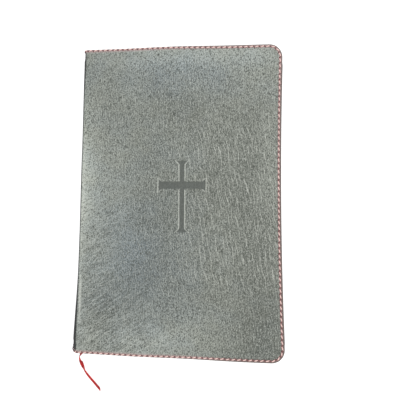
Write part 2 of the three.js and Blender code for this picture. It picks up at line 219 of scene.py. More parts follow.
CROSS_HEIGHT = 52.5 * MM
CROSS_SPAN = 35.5 * MM
CROSS_SHAFT = 3.4 * MM
CROSS_ARM = 5.2 * MM
CROSS_FOOT = 9.2 * MM
CROSS_FLARE = 3.2 * MM
FLARE_CURVE = 1.8
CROSS_ARM_FROM_TOP = 18 * MM
CROSS_DEPTH = 0.35 * MM
RIM_PLACE = 0.6 * MM  # from the cross's edge
RIM_WIDTH = 0.38 * MM
RIM_HEIGHT = 0.1 * MM
CROSS_X = (COVER_START_X + FORE_X) / 2 + 1.5 * MM
CROSS_TOP = 3.5 * MM + CROSS_HEIGHT / 2
CROSS_BOTTOM = CROSS_TOP - CROSS_HEIGHT
CROSS_ARM_Y = CROSS_TOP - CROSS_ARM_FROM_TOP


def towards_tail(y):
    """0 at the head and 1 at the tail."""
    return np.clip((COVER_HALF - y) / (2 * COVER_HALF), 0, 1)


def spine_bulge(y):
    return BULGE + (TAIL_BULGE - BULGE) * smooth_step(towards_tail(y), TAIL_SHARE, 1.0)


def shoulder_in(y):
    """How far the shoulder has moved towards the fore edge: the spine has been pushed askew."""
    share = towards_tail(y)
    slant = SHOULDER_IN_HEAD + (SHOULDER_IN_TAIL - SHOULDER_IN_HEAD) * share
    return slant + SHOULDER_IN_MIDDLE * np.sin(math.pi * share)


def drawn_in(across, y):
    """How far a place has moved towards the spine."""
    up = y / COVER_HALF
    slant = (FORE_IN_HEAD - FORE_IN_TAIL) / 2
    bow = FORE_IN_MIDDLE - (FORE_IN_HEAD + FORE_IN_TAIL) / 2
    fore = (FORE_IN_MIDDLE + slant * up - bow * up**2) * np.clip(across / COVER_WIDTH, 0, 1) ** 3
    return fore - shoulder_in(y) * (1 - smooth_step(across, 0, SHOULDER_REACH))


def edge_y(across, end):
    """Where the leather ends, at the head (end 1) or at the tail (end -1)."""
    past = np.clip(across - (COVER_WIDTH - CORNER_RADIUS), 0, CORNER_RADIUS)
    y = COVER_HALF - CORNER_RADIUS + np.sqrt(CORNER_RADIUS**2 - past**2)
    y = y + WAVE * np.sin(across / (12 * MM) + 2 * end)
    share = np.clip(across / COVER_WIDTH, 0, 1)
    if end > 0:
        slant = HEAD_OUT_SPINE + (HEAD_OUT_FORE - HEAD_OUT_SPINE) * share
        return y + slant + HEAD_OUT_MIDDLE * np.sin(math.pi * share)
    tuck = TAIL_TUCK * np.clip(-across / QUARTER, 0, 1) ** 2
    return tuck - y - TAIL_OUT_FORE * share


def seam_inset(across):
    return SEAM_INSET_SPINE + (SEAM_INSET_FORE - SEAM_INSET_SPINE) * smooth_step(across, 40 * MM, 125 * MM)


def from_edge(across, y):
    """Distance to the nearest free edge of the leather."""
    side = np.where(y > 0, edge_y(across, 1) - y, y - edge_y(across, -1))
    past_x = across - (COVER_WIDTH - CORNER_RADIUS)
    rise = np.sqrt(np.clip(CORNER_RADIUS**2 - np.clip(past_x, 0, None) ** 2, 0, None))
    past_y = rise - side
    corner = CORNER_RADIUS - np.hypot(past_x, past_y)
    in_corner = (past_x > 0) & (past_y > 0)
    return np.where(in_corner, corner, np.minimum(side, COVER_WIDTH - across))


def flare(from_end):
    """How far the cross's shaft or arm has widened, 0 to 1, at a distance from its end."""
    return np.clip(1 - from_end / CROSS_FLARE, 0, 1) ** FLARE_CURVE


def in_cross(across, y):
    """How far a place lies inside the cross's outline; negative outside it."""
    dx = np.abs(across + SHOULDER_X - CROSS_X)
    shaft_end = np.minimum(CROSS_TOP - y, y - CROSS_BOTTOM)
    half_shaft = CROSS_SHAFT / 2 + flare(shaft_end) * (CROSS_FOOT - CROSS_SHAFT) / 2
    shaft = np.minimum(half_shaft - dx, shaft_end)
    arm_end = CROSS_SPAN / 2 - dx
    half_arm = CROSS_ARM / 2 + flare(arm_end) * (CROSS_FOOT - CROSS_ARM) / 2
    arm = np.minimum(half_arm - np.abs(y - CROSS_ARM_Y), arm_end)
    return np.maximum(shaft, arm)


def cross_rim(across, y):
    """1 on the rim raised beside the cross's upright edges, where use has polished it."""
    step = 0.1 * MM
    slope = (in_cross(across + step, y) - in_cross(across - step, y)) / (2 * step)
    away = (in_cross(across, y) + RIM_PLACE) / RIM_WIDTH
    return np.abs(slope) * np.exp(-(away**2))


def creased(across, y):
    """1 where use has creased the leather most: the fore-edge half, about its middle height."""
    fore = smooth_step(across, 60 * MM, 95 * MM)
    below_head = smooth_step(y, 75 * MM, 40 * MM)
    above_tail = smooth_step(y, -80 * MM, -45 * MM)
    return 0.2 + 0.8 * fore * below_head * above_tail


def shoulder_highlight(across, y):
    """1 along the shoulder, where a painted highlight lies along its bend."""
    line = np.exp(-(((across - 1.1 * MM) / (0.9 * MM)) ** 2))
    low = smooth_step(y, -96 * MM, -80 * MM) * smooth_step(y, -52 * MM, -64 * MM)
    high = smooth_step(y, -30 * MM, 0 * MM) * smooth_step(y, 60 * MM, 30 * MM)
    return line * (1.1 * low + 0.45 * high)


def edge_rounding(edge):
    """How much lower the face lies, at a distance from its rounded edge."""
    inside = np.clip(EDGE_ROUND - edge, 0, EDGE_ROUND)
    return EDGE_ROUND - np.sqrt(np.clip(EDGE_ROUND**2 - inside**2, 0, None))


def seam_dip(across, edge):
    """How far the seam has drawn the face down."""
    return SEAM_DIP * np.exp(-(((edge - seam_inset(across)) / SEAM_DIP_WIDTH) ** 2))


def relief(across, y, front, seed):
    """Height of the leather's face over its plain shape."""
    edge = from_edge(across, y)
    inside = smooth_step(edge, 3 * MM, 12 * MM)
    billow = BILLOW * noise_at(across, y, 34 * MM, 47 * MM, seed)
    leaning = across + 0.2 * y
    crease = CREASE * noise_at(leaning, y, 3.4 * MM, 15 * MM, seed + 7) * creased(across, y)
    over_leaves = LEAVES_RAISE * (smooth_step(edge, 6.5 * MM, 9 * MM) - 1)
    height = inside * (billow + crease) + over_leaves - edge_rounding(edge) - seam_dip(across, edge)
    if front:
        inset = in_cross(across, y)
        height = height - CROSS_DEPTH * smooth_step(inset, -0.35 * MM, 0.45 * MM)
        height = height + RIM_HEIGHT * np.exp(-(((inset + RIM_PLACE) / RIM_WIDTH) ** 2))
    return height


def leather_place(across, y, depth, height, front):
    """Points of one half of the leather, depth below its plain face and lifted by height. The
    back half is worked out upside down, and then turned over."""
    angle = np.clip(1 + across / QUARTER, 0, 1) * math.pi / 2
    bulge = spine_bulge(y) - depth
    rise = MIDDLE_Z - depth
    x = SHOULDER_X + np.clip(across, 0, None) - drawn_in(across, y) - bulge * np.cos(angle)
    z = MIDDLE_Z + rise * np.sin(angle)
    normal = np.stack([-np.cos(angle) / bulge, np.zeros_like(angle), np.sin(angle) / rise], -1)
    normal /= np.linalg.norm(normal, axis=-1, keepdims=True)
    points = np.stack([x, y + 0 * x, z], -1) + normal * np.asarray(height)[..., None]
    return points if front else turned_over(points)


def turned_over(points):
    """The same points on the back cover's side of the book."""
    mirrored = points.copy()
    mirrored[..., 2] = BOOK_TOP - mirrored[..., 2]
    return mirrored


def across_lines(fine_from, fine_to, fine):
    """Places from the middle of the spine to the fore edge. The first two are close together, so
    that the two halves' normals agree where they meet."""
    coarse = 1.2 * MM
    close = 0.05 * MM
    corner_start = COVER_WIDTH - CORNER_RADIUS
    lines = spaced(
        (-QUARTER, close - QUARTER, close),
        (close - QUARTER, 0, 0.9 * MM),
        (0, 4 * MM, 0.5 * MM),
        (4 * MM, fine_from, coarse),
        (fine_from, fine_to, fine),
        (fine_to, corner_start, coarse),
    )
    angles = np.radians(np.arange(5, 91, 5))
    return np.concatenate([lines, corner_start + CORNER_RADIUS * np.sin(angles)])


def y_lines(fine_from, fine_to, fine):
    """Places from tail to head, close together at the ends, for a sheet with straight ends."""
    coarse = 1.2 * MM
    rim = COVER_HALF - 4 * MM
    return spaced(
        (-COVER_HALF, -COVER_HALF + 1 * MM, 0.2 * MM),
        (-COVER_HALF + 1 * MM, -rim, 0.4 * MM),
        (-rim, fine_from, coarse),
        (fine_from, fine_to, fine),
        (fine_to, rim, coarse),
        (rim, COVER_HALF - 1 * MM, 0.4 * MM),
        (COVER_HALF - 1 * MM, COVER_HALF, 0.2 * MM),
    )


def leather_grid(front):
    margin = 2 * MM
    fine = 0.36 * MM if front else 1.2 * MM
    centre = CROSS_X - SHOULDER_X
    half_span = CROSS_SPAN / 2 + margin
    across = across_lines(centre - half_span, centre + half_span, fine)
    share = y_lines(CROSS_BOTTOM - margin, CROSS_TOP + margin, fine) / COVER_HALF
    top, bottom = edge_y(across, 1), edge_y(across, -1)
    plain = np.where(share[None, :] > 0, share[None, :] * top[:, None], -share[None, :] * bottom[:, None])
    return np.repeat(across[:, None], len(share), 1), plain


# Patches where the leather is lighter, or darker where the strength is below 0: partly wear, partly painted
# sheen and shade, with a painted highlight along the shoulder. x and y of the middle, reach along x and y,
# in millimetres, and strength.
WEAR_AND_LIGHT = [
    (0, 112, 90, 12, 2.2),
    (34, 106, 50, 10, 1.2),
    (10, 84, 28, 9, 0.9),
    (64, 92, 16, 18, 0.7),
    (-48, 104, 26, 5, 0.3),
    (-73, 16, 13, 56, 4.4),
    (-73, -18, 3, 52, 2.2),
    (-73, -95, 12, 30, 0.9),
    (-46, 8, 16, 45, 1.3),
    (20, 5, 40, 62, -0.6),
    (70, 45, 7, 40, 0.8),
    (60, -30, 18, 40, -0.8),
    (64, -85, 20, 30, -1.0),
    (-66, 108, 14, 9, -0.9),
    (-32, -36, 16, 24, -0.35),
    (-48, -80, 16, 18, -0.2),
    (48, -110, 34, 10, -0.9),
    (-20, -106, 50, 17, 2.3),
]
# Where a painted bluish sheen of window light tints it, or tints it less than elsewhere, likewise.
SHEEN_PATCHES = [
    (-30, -48, 34, 50, 0.75),
    (0, 96, 50, 16, 0.6),
    (58, 10, 28, 60, -0.4),
]


def patches_of(patches, across, y):
    """The sum of soft round patches from a list such as WEAR_AND_LIGHT."""
    total = np.zeros_like(across)
    for x, middle_y, reach_x, reach_y, strength in patches:
        away_x = (across + SHOULDER_X - x * MM) / (reach_x * MM)
        away_y = (y - middle_y * MM) / (reach_y * MM)
        total += strength * np.exp(-(away_x**2) - away_y**2)
    return total


def make_leather(side, seed):
    """Half the cover's one piece of leather: from the middle of the spine to the fore edge."""
    front = side == "front"
    across, y = leather_grid(front)
    height = relief(across, y, front, seed)
    outer = leather_place(across, y, 0, height, front)
    inner = leather_place(across, y, LEATHER, 0 * height, front)
    order = slice(None, None, -1 if front else 1)
    piece = closed_sheet(f"{side}_leather", outer[order], inner[order])
    nothing = np.zeros_like(across)
    pressed = smooth_step(in_cross(across, y), -0.3 * MM, 0.3 * MM) if front else nothing
    # rim: the rim beside the cross, which use has polished, and a painted highlight along the shoulder.
    rim = cross_rim(across, y) + shoulder_highlight(across, y) if front else nothing
    past_shoulder = SPINE_SHADE_AT_HEAD * smooth_step(y, 78 * MM, 100 * MM)
    for name, values in (
        ("pressed", pressed),
        ("rim", rim),
        ("edge", from_edge(across, y) / MM),
        # Wear, with painted sheen, shade and a highlight along the shoulder.
        ("wear_and_light", patches_of(WEAR_AND_LIGHT, across, y)),
        # Painted sheen of window light.
        ("painted_sheen", patches_of(SHEEN_PATCHES, across, y)),
        ("creased", creased(across, y)),
        # spine: painted shade on the spine's side.
        ("spine", smooth_step(across - past_shoulder, -0.3 * MM, -2.5 * MM)),
    ):
        flat = values[order].ravel()
        add_attribute(piece, name, np.concatenate([flat, 0 * flat]))
    return piece


# ---------- Materials ----------


def new_material(name):
    material = bpy.data.materials.new(name)
    material.use_nodes = True
    material.node_tree.nodes.clear()
    return material, material.node_tree


def node(tree, kind, inputs=None, **settings):
    """A shader node with its settings, and its inputs set to values or linked to sockets."""
    made = tree.nodes.new("ShaderNode" + kind)
    for name, value in settings.items():
        setattr(made, name, value)
    for name, value in (inputs or {}).items():
        socket = made.inputs[name]
        if isinstance(value, bpy.types.NodeSocket):
            tree.links.new(value, socket)
        else:
            socket.default_value = value
    return made


def math_node(tree, operation, a, b=0.0):
    return node(tree, "Math", {0: a, 1: b}, operation=operation).outputs[0]


def stretched(tree, size, turn=0.0):
    """Coordinates whose unit is size, a length for each axis, turned by some degrees about Z."""
    place = node(tree, "TexCoord").outputs["Object"]
    turned = node(tree, "Mapping", {"Vector": place, "Rotation": (0, 0, -math.radians(turn))})
    scale = tuple(1 / s for s in size)
    return node(tree, "Mapping", {"Vector": turned.outputs[0], "Scale": scale}).outputs[0]


def noise_node(tree, vector, detail=2.0, distortion=0.0, roughness=0.5):
    values = {"Vector": vector, "Scale": 1.0, "Detail": detail, "Distortion": distortion}
    values["Roughness"] = roughness
    return node(tree, "TexNoise", values).outputs["Fac"]


def ranged(tree, value, low, high, to_low=0.0, to_high=1.0):
    values = {"Value": value, "From Min": low, "From Max": high, "To Min": to_low, "To Max": to_high}
    return node(tree, "MapRange", values, clamp=True).outputs[0]


def mixed(tree, share, a, b):
    made = node(tree, "Mix", data_type="RGBA")
    for index, value in ((0, share), (6, a), (7, b)):
        if isinstance(value, bpy.types.NodeSocket):
            tree.links.new(value, made.inputs[index])
        elif index == 0:
            made.inputs[index].default_value = value
        else:
            made.inputs[index].default_value = (*value, 1)
    return made.outputs[2]


def finish_material(tree, color, roughness, height=None, distance=0.1 * MM, **shader):
    """Ends a material in a Principled shader. shader sets its uniform inputs by name."""
    principled = node(tree, "BsdfPrincipled", {k.replace("_", " "): v for k, v in shader.items()})
    for name, value in (("Base Color", color), ("Roughness", roughness)):
        if isinstance(value, bpy.types.NodeSocket):
            tree.links.new(value, principled.inputs[name])
        else:
            principled.inputs[name].default_value = value if name == "Roughness" else (*value, 1)
    if height is not None:
        bump = node(tree, "Bump", {"Height": height, "Distance": distance, "Strength": 1.0})
        tree.links.new(bump.outputs[0], principled.inputs["Normal"])
    output = node(tree, "OutputMaterial")
    tree.links.new(principled.outputs[0], output.inputs[0])


def attribute(tree, name):
    return node(tree, "Attribute", attribute_name=name).outputs["Fac"]


CREASE_HALF_WIDTH = 0.3 * MM


def crease_lines(tree, turn, apart, length):
    """Thin winding lines of even width along Y turned by some degrees, broken in places."""
    across = node(tree, "SeparateXYZ", {0: stretched(tree, (apart, apart, apart), turn)}).outputs["X"]
    bend = noise_node(tree, stretched(tree, (3.5 * apart, length, 9 * MM), turn), detail=2)
    jitter = noise_node(tree, stretched(tree, (1.1 * MM, 1.5 * MM, 2 * MM)), detail=1)
    bend = math_node(tree, "MULTIPLY", bend, 2.4)
    warp = math_node(tree, "ADD", bend, math_node(tree, "MULTIPLY", jitter, 0.2))
    angle = math_node(tree, "MULTIPLY", math_node(tree, "ADD", across, warp), math.pi)
    from_line = math_node(tree, "ABSOLUTE", math_node(tree, "SINE", angle))
    half_width = CREASE_HALF_WIDTH / apart * math.pi
    line = ranged(tree, from_line, 0.3 * half_width, 1.1 * half_width, 1, 0)
    broken = noise_node(tree, stretched(tree, (0.9 * apart, 0.55 * length, 6 * MM), turn), detail=2)
    return math_node(tree, "MULTIPLY", line, ranged(tree, broken, 0.44, 0.56))


def leather_creases(tree):
    """Steep creases where use has bent the cover most, and others that rise towards the fore edge
    by the tail of the spine."""
    long_lines = crease_lines(tree, 11, 3 * MM, 21 * MM)
    steep = math_node(tree, "MULTIPLY", long_lines, attribute(tree, "creased"))
    by_tail = math_node(tree, "MULTIPLY", by_spine_tail(tree), 0.7)
    leaning = math_node(tree, "MULTIPLY", crease_lines(tree, -56, 2.8 * MM, 12 * MM), by_tail)
    fine = math_node(tree, "MULTIPLY", crease_lines(tree, 3, 1.7 * MM, 7 * MM), 0.5)
    return math_node(tree, "MAXIMUM", fine, math_node(tree, "MAXIMUM", steep, leaning))


def by_spine_tail(tree):
    """1 by the tail of the spine and 0 elsewhere."""
    place = node(tree, "SeparateXYZ", {0: node(tree, "TexCoord").outputs["Object"]})
    regions = noise_node(tree, stretched(tree, (60 * MM,) * 3), detail=1)
    lean = math_node(tree, "ADD", place.outputs["X"], math_node(tree, "MULTIPLY", place.outputs["Y"], 0.45))
    wander = math_node(tree, "MULTIPLY", math_node(tree, "SUBTRACT", regions, 0.5), 0.12)
    return ranged(tree, math_node(tree, "ADD", lean, wander), -90 * MM, -45 * MM, 1, 0)


def leather_grain(tree):
    """Height of the leather's grain, near 0 to 1: fine pebbles and short wrinkles, which run up
    the cover, and up to the right by the spine's tail."""
    bent = noise_node(tree, stretched(tree, (1.8 * MM,) * 3), detail=1)
    place = stretched(tree, (0.75 * MM, 0.95 * MM, 0.9 * MM))
    shifted = node(tree, "VectorMath", {0: place, 1: bent}, operation="ADD").outputs[0]
    cells = node(tree, "TexVoronoi", {"Vector": shifted, "Scale": 1.0}, feature="F1").outputs["Distance"]
    pebbles = ranged(tree, cells, 0.1, 0.75, 1, 0)
    upright = noise_node(tree, stretched(tree, (0.55 * MM, 1.15 * MM, 1 * MM), 8), detail=3, distortion=0.5)
    slanted = noise_node(tree, stretched(tree, (1.6 * MM, 0.5 * MM, 1 * MM), 38), detail=3, distortion=0.5)
    short = node(tree, "Mix", {0: by_spine_tail(tree), 2: upright, 3: slanted}, data_type="FLOAT").outputs[0]
    short = ranged(tree, short, 0.32, 0.68)
    return math_node(
        tree, "ADD", math_node(tree, "MULTIPLY", pebbles, 0.5), math_node(tree, "MULTIPLY", short, 0.5)
    )


LEATHER_LIGHT = (0.380, 0.398, 0.343)
LEATHER_DARK = (0.110, 0.117, 0.098)
# The colours of the painted bluish sheen of window light.
LEATHER_SHEEN_LIGHT = (0.348, 0.400, 0.412)
LEATHER_SHEEN_DARK = (0.100, 0.117, 0.121)
# The grain's hollows darker and its tips lighter: the leather's own wear, and painted shade and highlight.
LEATHER_HOLLOW_AND_SHADE = (0.058, 0.063, 0.053)
LEATHER_TIP_AND_HIGHLIGHT = (0.360, 0.372, 0.336)
# Pale cracks in the creases; also the cross's polished rim and the painted highlight along the shoulder.
LEATHER_CRACK_AND_HIGHLIGHT = (0.66, 0.67, 0.60)
LEATHER_PRESSED = (0.074, 0.080, 0.071)
# Painted shade on the spine's side.
LEATHER_SPINE_SHADE = (0.014, 0.015, 0.014)
# A pale pinkish painted highlight on the lit side of the seam's dip.
LEATHER_MARGIN_HIGHLIGHT = (0.440, 0.330, 0.315)
LEATHER_EDGE_DARK = (0.130, 0.088, 0.078)


def leather_tone(tree, wear_and_light):
    """The face's colour: darker and lighter patches, part random tone, part wear and part painted sheen and
    shade; painted light and dark bands of wrinkle shading by the spine's tail; and a painted bluish sheen of
    window light.
    """
    patches = noise_node(tree, stretched(tree, (38 * MM, 30 * MM, 40 * MM)), detail=4, roughness=0.6)
    lightness = math_node(tree, "ADD", patches, math_node(tree, "MULTIPLY", wear_and_light, 0.3))
    # Painted light and dark bands: the shading of wrinkles by the spine's tail.
    wrinkle_shading = noise_node(tree, stretched(tree, (11 * MM, 1.7 * MM, 5 * MM), 31), detail=1)
    wrinkle_shading = math_node(tree, "MULTIPLY", ranged(tree, wrinkle_shading, 0.3, 0.7, -0.4, 0.4), by_spine_tail(tree))
    lightness = ranged(tree, math_node(tree, "ADD", lightness, wrinkle_shading), 0.15, 1.95)
    tone = mixed(tree, lightness, LEATHER_DARK, LEATHER_LIGHT)
    # The painted sheen: the same tone tinted bluish as by window light, uneven, and stronger in its patches.
    sheen_tone = mixed(tree, lightness, LEATHER_SHEEN_DARK, LEATHER_SHEEN_LIGHT)
    tint = noise_node(tree, stretched(tree, (22 * MM,) * 3), detail=3)
    painted_sheen = math_node(tree, "ADD", ranged(tree, tint, 0.4, 0.65, 0, 0.3), attribute(tree, "painted_sheen"))
    return mixed(tree, painted_sheen, tone, sheen_tone)


def with_margin(tree, color, wear_and_light):
    """The colour with the leather's edge: dark at its rim, and within it a pale pinkish painted highlight,
    the lit side of the seam's dip.
    """
    from_rim = attribute(tree, "edge")
    # pale: the painted highlight inside the rim, stronger where the face is lighter.
    pale = math_node(tree, "MULTIPLY", ranged(tree, wear_and_light, -1.2, 0.9), ranged(tree, from_rim, 0.5, 1.3))
    margin = mixed(tree, pale, LEATHER_EDGE_DARK, LEATHER_MARGIN_HIGHLIGHT)
    return mixed(tree, ranged(tree, from_rim, 1.2, 3, 0.85, 0), color, margin)


def cover_leather_material():
    """Black leather, grey from wear, with painted sheen, highlights and shade."""
    material, tree = new_material("cover_leather")
    grain = leather_grain(tree)
    creases = leather_creases(tree)
    pressed = attribute(tree, "pressed")
    # Wear, with painted sheen, shade and the highlight along the shoulder.
    wear_and_light = attribute(tree, "wear_and_light")
    unpressed = ranged(tree, pressed, 0, 1, 1, 0.3)
    height = math_node(tree, "MULTIPLY", math_node(tree, "ADD", grain, creases), unpressed)
    # The grain's hollows darker and its tips lighter: the leather's own wear, and painted shade and
    # highlight.
    color = mixed(tree, ranged(tree, grain, 0.12, 0.5), LEATHER_HOLLOW_AND_SHADE, leather_tone(tree, wear_and_light))
    color = mixed(tree, ranged(tree, grain, 0.5, 0.95, 0, 0.9), color, LEATHER_TIP_AND_HIGHLIGHT)
    color = mixed(tree, math_node(tree, "MULTIPLY", creases, 0.38), color, LEATHER_CRACK_AND_HIGHLIGHT)
    color = mixed(tree, math_node(tree, "MULTIPLY", pressed, 0.85), color, LEATHER_PRESSED)
    # The cross's polished rim, and the painted highlight along the shoulder.
    color = mixed(tree, math_node(tree, "MULTIPLY", attribute(tree, "rim"), 0.4), color, LEATHER_CRACK_AND_HIGHLIGHT)
    # Painted shade on the spine's side.
    color = mixed(tree, attribute(tree, "spine"), color, LEATHER_SPINE_SHADE)
    color = with_margin(tree, color, wear_and_light)
    roughness = ranged(tree, grain, 0.1, 0.9, 0.65, 0.48)
    finish_material(tree, color, roughness, height, 0.12 * MM, Specular_IOR_Level=0.2)
    return material


def lining_material():
    material, tree = new_material("lining_leather")
    values = {"Vector": stretched(tree, (0.8 * MM,) * 3), "Scale": 1.0}
    cells = node(tree, "TexVoronoi", values, feature="DISTANCE_TO_EDGE").outputs["Distance"]
    height = ranged(tree, cells, 0.02, 0.25)
    patches = noise_node(tree, stretched(tree, (25 * MM,) * 3), detail=4)
    color = mixed(tree, patches, (0.030, 0.028, 0.028), (0.055, 0.050, 0.048))
    finish_material(tree, color, ranged(tree, patches, 0.3, 0.7, 0.5, 0.65), height, 0.05 * MM)
    return material


def thread_material(name, light, dark):
    """Twisted thread. U runs along it and V round it, so their sum winds round."""
    material, tree = new_material(name)
    uv = node(tree, "SeparateXYZ", {0: node(tree, "UVMap").outputs[0]})
    along = math_node(tree, "MULTIPLY", uv.outputs["X"], 5.0)
    wound = math_node(tree, "ADD", along, math_node(tree, "MULTIPLY", uv.outputs["Y"], 2.0))
    ply = math_node(tree, "ABSOLUTE", math_node(tree, "SINE", math_node(tree, "MULTIPLY", wound, math.pi)))
    fibres = noise_node(tree, stretched(tree, (0.25 * MM,) * 3), detail=2)
    shade = math_node(tree, "MULTIPLY", ply, ranged(tree, fibres, 0.3, 0.7, 0.75, 1))
    color = mixed(tree, shade, dark, light)
    finish_material(tree, color, 0.55, ply, 0.08 * MM, Sheen_Weight=0.3, Sheen_Roughness=0.4)
    return material


def paper_material(name, light, dark):
    """Paper, whose cut edges show the leaves as fine lines."""
    material, tree = new_material(name)
    lines = noise_node(tree, stretched(tree, (40 * MM, 40 * MM, 0.085 * MM)), detail=1)
    normal = node(tree, "SeparateXYZ", {0: node(tree, "NewGeometry").outputs["True Normal"]})
    upright = math_node(tree, "ABSOLUTE", normal.outputs["Z"])
    on_edge = ranged(tree, upright, 0.3, 0.7, 1, 0)
    shade = math_node(tree, "MULTIPLY", ranged(tree, lines, 0.35, 0.65), on_edge)
    fibres = noise_node(tree, stretched(tree, (1.2 * MM,) * 3), detail=4)
    base = mixed(tree, ranged(tree, fibres, 0.35, 0.65), light, tuple(0.94 * c for c in light))
    color = mixed(tree, math_node(tree, "MULTIPLY", shade, 0.75), base, dark)
    finish_material(tree, color, 0.85, math_node(tree, "ADD", shade, fibres), 0.03 * MM)
    return material


def weave_material(name, light, dark, pitch):
    """Plain woven cloth, with threads pitch apart."""
    material, tree = new_material(name)
    place = node(tree, "SeparateXYZ", {0: stretched(tree, (pitch,) * 3)})
    waves = []
    for axis in ("X", "Y"):
        turn = math_node(tree, "MULTIPLY", place.outputs[axis], 2 * math.pi)
        waves.append(math_node(tree, "SINE", turn))
    weave = ranged(tree, math_node(tree, "MULTIPLY", *waves), -1, 1)
    uneven = noise_node(tree, stretched(tree, (3 * MM,) * 3), detail=3)
    shade = math_node(tree, "MULTIPLY", weave, ranged(tree, uneven, 0.3, 0.7, 0.7, 1))
    color = mixed(tree, shade, dark, light)
    finish_material(tree, color, 0.8, weave, 0.06 * MM, Sheen_Weight=0.2)
    return material


def satin_material():
    """Red satin ribbon. U runs along it and V across it: fine ribs across, and a firm selvage."""
    material, tree = new_material("ribbon")
    uv = node(tree, "SeparateXYZ", {0: node(tree, "UVMap").outputs[0]})
    ribs = math_node(tree, "SINE", math_node(tree, "MULTIPLY", uv.outputs["X"], 700.0))
    threads = math_node(tree, "SINE", math_node(tree, "MULTIPLY", uv.outputs["Y"], 75.0))
    height = math_node(tree, "ADD", ribs, math_node(tree, "MULTIPLY", threads, 0.6))
    uneven = noise_node(tree, stretched(tree, (4 * MM,) * 3), detail=2)
    across_fold = math_node(tree, "ABSOLUTE", math_node(tree, "SUBTRACT", uv.outputs["Y"], 0.5))
    middle = ranged(tree, across_fold, 0.05, 0.35, 1, 0)
    shade = math_node(tree, "MAXIMUM", ranged(tree, uneven, 0.4, 0.65), middle)
    color = mixed(tree, shade, (0.68, 0.032, 0.022), (0.27, 0.009, 0.013))
    finish_material(tree, color, 0.5, height, 0.012 * MM, Anisotropic=0.4, Specular_IOR_Level=0.15)
    return material


def striped_silk_material():
    """Headband silk, wound in two colours: U counts the turns."""
    material, tree = new_material("silk")
    uv = node(tree, "SeparateXYZ", {0: node(tree, "UVMap").outputs[0]})
    turn = math_node(tree, "MODULO", uv.outputs["X"], 2.0)
    second = math_node(tree, "GREATER_THAN", turn, 1.0)
    strands = math_node(tree, "SINE", math_node(tree, "MULTIPLY", uv.outputs["X"], 40.0))
    color = mixed(tree, second, (0.42, 0.02, 0.03), (0.03, 0.028, 0.03))
    finish_material(tree, color, 0.4, strands, 0.03 * MM, Sheen_Weight=0.4)
    return material


MATERIALS = {
    "cover_leather": cover_leather_material(),
    "lining_leather": lining_material(),
    "card": paper_material("card", (0.42, 0.34, 0.24), (0.28, 0.22, 0.15)),
    "endpaper": paper_material("endpaper", (0.040, 0.038, 0.042), (0.02, 0.02, 0.02)),
    "paper": paper_material("paper", (0.66, 0.62, 0.51), (0.42, 0.37, 0.28)),
    "linen": weave_material("linen", (0.60, 0.54, 0.42), (0.36, 0.30, 0.21), 0.7 * MM),
    "silk": striped_silk_material(),
    "ribbon": satin_material(),
    "thread_pale": thread_material("thread_pale", (0.80, 0.57, 0.52), (0.56, 0.33, 0.30)),
    "thread_dark": thread_material("thread_dark", (0.230, 0.075, 0.075), (0.100, 0.030, 0.032)),
    # Darker thread: painted shade on the spine's stitches.
    "thread_unworn": thread_material("thread_unworn", (0.095, 0.022, 0.024), (0.035, 0.010, 0.011)),
}


def dress(piece, *names, slot=None):
    piece.data.materials.clear()
    for name in names:
        piece.data.materials.append(MATERIALS[name])


# ---------- Ribbon ----------

RIBBON_WIDTH = 3 * MM
RIBBON_THICKNESS = 0.28 * MM
RIBBON_EXIT = (-72.93 * MM, -111.3 * MM, 11.9 * MM)
RIBBON_STEPS = 6  # between two route points
RIBBON_PLACES = np.linspace(-1, 1, 9)  # across it, in half widths
RIBBON_CUP = 0.25 * MM
RIBBON_END_SLANT = 1.2 * MM  # of its cut end
SELVAGE = 1.25  # times as thick as the rest
# The route's points, in millimetres from the exit.
RIBBON_ROUTE = [
    (0, 0, 0),
    (-0.2, -1.6, 0),
    (-1.6, -3.6, -0.1),
    (-3.3, -5.9, -0.5),
    (-4.6, -8.7, -1.7),
    (-5.1, -11, -4.1),
    (-5.5, -13.6, -7),
    (-5.4, -16.3, -9),
    (-4.6, -18.9, -9.9),
    (-3.2, -21.9, -10.4),
    (-1.1, -24.7, -10.6),
    (1.4, -27.5, -10.7),
    (4.1, -30.2, -10.7),
    (6.7, -33, -10.7),
    (9.1, -35.4, -10.7),
]
# How far the ribbon has turned about its own line, in degrees, at shares of its length: flat
# between the leaves, on edge where it leaves them, flat as it drops, and leaning along the table.
RIBBON_TWIST = [
    (0, 0),
    (0.1, -10),
    (0.2, -68),
    (0.27, -60),
    (0.37, -5),
    (0.46, -8),
    (0.57, -50),
    (0.68, -38),
    (1, -32),
]


def smooth_route(points, steps):
    """A Catmull-Rom line through the points."""
    points = np.array(points, float)
    padded = np.concatenate([[2 * points[0] - points[1]], points, [2 * points[-1] - points[-2]]])
    line = []
    for a, b, c, d in zip(padded, padded[1:], padded[2:], padded[3:]):
        square = 2 * a - 5 * b + 4 * c - d
        cube = 3 * (b - c) + d - a
        for t in np.arange(steps) / steps:
            line.append(0.5 * (2 * b + (c - a) * t + square * t**2 + cube * t**3))
    return np.array(line + [points[-1]])


def along(line):
    """Length run at each point of a line."""
    return np.concatenate([[0], np.cumsum(np.linalg.norm(np.diff(line, axis=0), axis=1))])


def ribbon_directions(route, index, turn):
    """Along the ribbon, across its width and out of its face, at one point of the route."""
    ahead = Vector(route[min(index + 1, len(route) - 1)] - route[max(index - 1, 0)]).normalized()
    side = ahead.cross(Vector((0, 0, 1))).normalized()
    face = side.cross(ahead)
    wide = side * math.cos(turn) + face * math.sin(turn)
    return ahead, wide, wide.cross(ahead)


